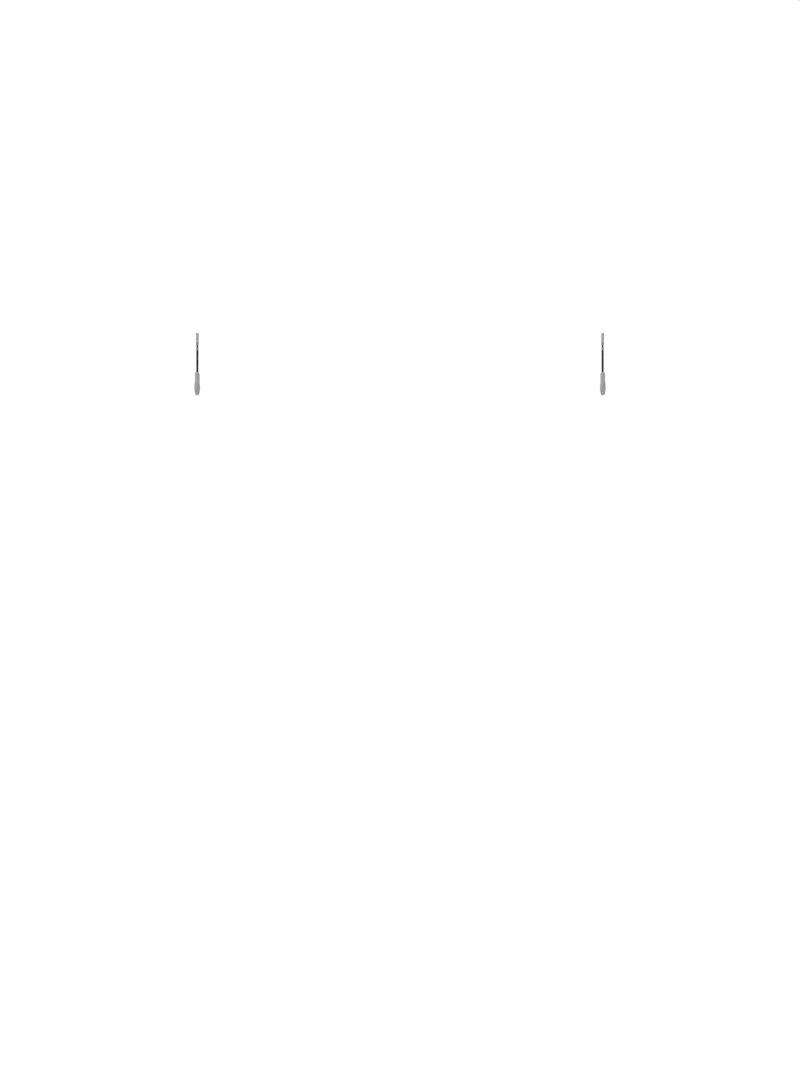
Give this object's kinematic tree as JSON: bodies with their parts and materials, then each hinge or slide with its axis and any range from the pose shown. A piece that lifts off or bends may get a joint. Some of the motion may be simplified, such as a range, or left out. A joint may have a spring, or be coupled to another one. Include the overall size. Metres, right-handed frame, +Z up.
{
  "type": "bicycle ceiling hook set",
  "caption": "Pair of bent steel ceiling hooks with soft grey sleeves, set a wheelbase apart to hang a bicycle upside down by its wheels.",
  "frame": {"origin": "midway between the two hooks' shanks, on the ceiling plane", "axes": "+Z up into the ceiling, +X from the left hook to the right hook, -Y to the front, where the arms turn up"},
  "size_m": [1.1714, 0.0882, 0.1786],
  "materials": {
    "coated_steel": "semi-gloss black powder coat, with a bare zinc neck and a dark thread",
    "grip_rubber": "matt light grey moulded soft rubber",
    "plated_steel": "dull zinc plating",
    "plug_steel": "plain turned steel"
  },
  "bodies": {
    "ceiling_fixings": {"left_anchor_shell": "plated_steel", "left_expander_plug": "plug_steel", "left_lock_collar": "plated_steel", "right_anchor_shell": "plated_steel", "right_expander_plug": "plug_steel", "right_lock_collar": "plated_steel"},
    "left_hook": {"left_hook_rod": "coated_steel", "left_grip_sleeve": "grip_rubber"},
    "right_hook": {"right_hook_rod": "coated_steel", "right_grip_sleeve": "grip_rubber"}
  },
  "joints": [
    {"name": "left_hook_turn", "type": "hinge", "parent": "ceiling_fixings", "child": "left_hook", "pos_m": [-0.5775, 0, 0], "axis": [0, 0, 1], "range_deg": [-180, 180]},
    {"name": "right_hook_turn", "type": "hinge", "parent": "ceiling_fixings", "child": "right_hook", "pos_m": [0.5775, 0, 0], "axis": [0, 0, 1], "range_deg": [-180, 180]}
  ]
}
